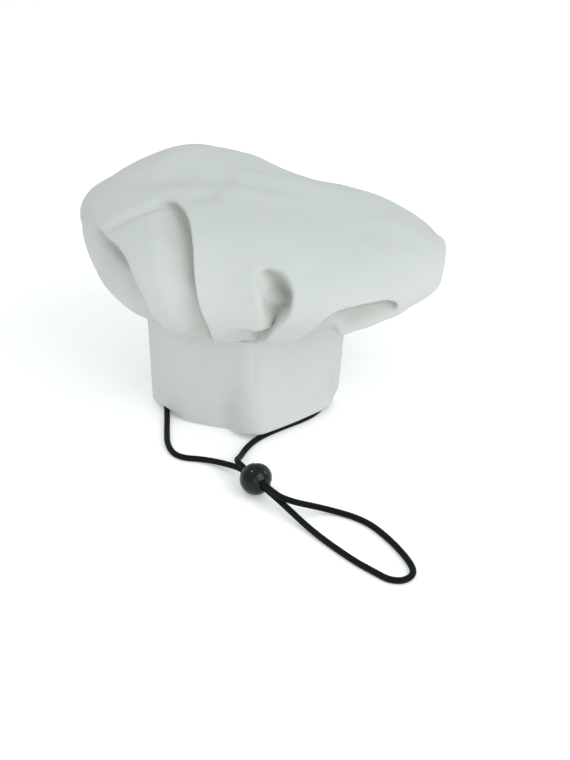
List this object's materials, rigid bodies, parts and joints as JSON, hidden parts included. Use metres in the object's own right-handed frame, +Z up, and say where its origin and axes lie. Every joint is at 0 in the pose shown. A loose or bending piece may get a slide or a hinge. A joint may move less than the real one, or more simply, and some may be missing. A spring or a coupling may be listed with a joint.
{
  "type": "chef toque",
  "caption": "Small pet-size chef toque: floppy pleated crown on an upright stiffened band, with an elastic chin cord and a spring ball cord lock.",
  "frame": {"origin": "centre of the band's opening, on the plane that the rim stands on", "axes": "+Z up through the crown, -Y to the front crease and the cord, +X to the side that the crown droops to"},
  "size_m": [0.1832, 0.2686, 0.1267],
  "materials": {
    "crown_twill": "ribbed cotton twill",
    "band_twill": "cotton twill, pressed flat",
    "interfacing": "stiff non-woven",
    "lining_cotton": "plain cotton",
    "thread": "white sewing thread",
    "tack_thread": "white sewing thread",
    "cord_braid": "black braided cover on an elastic core",
    "lock_plastic": "glossy moulded black",
    "spring_steel": "bright spring wire"
  },
  "bodies": {
    "hat": {"crown": "crown_twill", "band_shell": "band_twill", "band_interfacing": "interfacing", "band_lining": "lining_cotton", "hem_stitching": "thread", "seam_stitching": "thread", "back_seam_stitching": "thread", "elastic_cord": "cord_braid", "bar_tack_left": "tack_thread", "bar_tack_right": "tack_thread"},
    "cord_lock": {"lock_barrel": "lock_plastic", "lock_spring": "spring_steel"},
    "lock_button": {"lock_plunger": "lock_plastic"}
  },
  "joints": [
    {"name": "lock_slide", "type": "slide", "parent": "hat", "child": "cord_lock", "axis": [0.5446, -0.8387, 0], "range_m": [0, 0.008]},
    {"name": "button_press", "type": "slide", "parent": "cord_lock", "child": "lock_button", "axis": [-0.7662, -0.4976, -0.4067], "range_m": [0, 0.0022], "stiffness_N_per_m": 600, "springref_m": -0.001, "deforming": ["lock_spring"]}
  ]
}
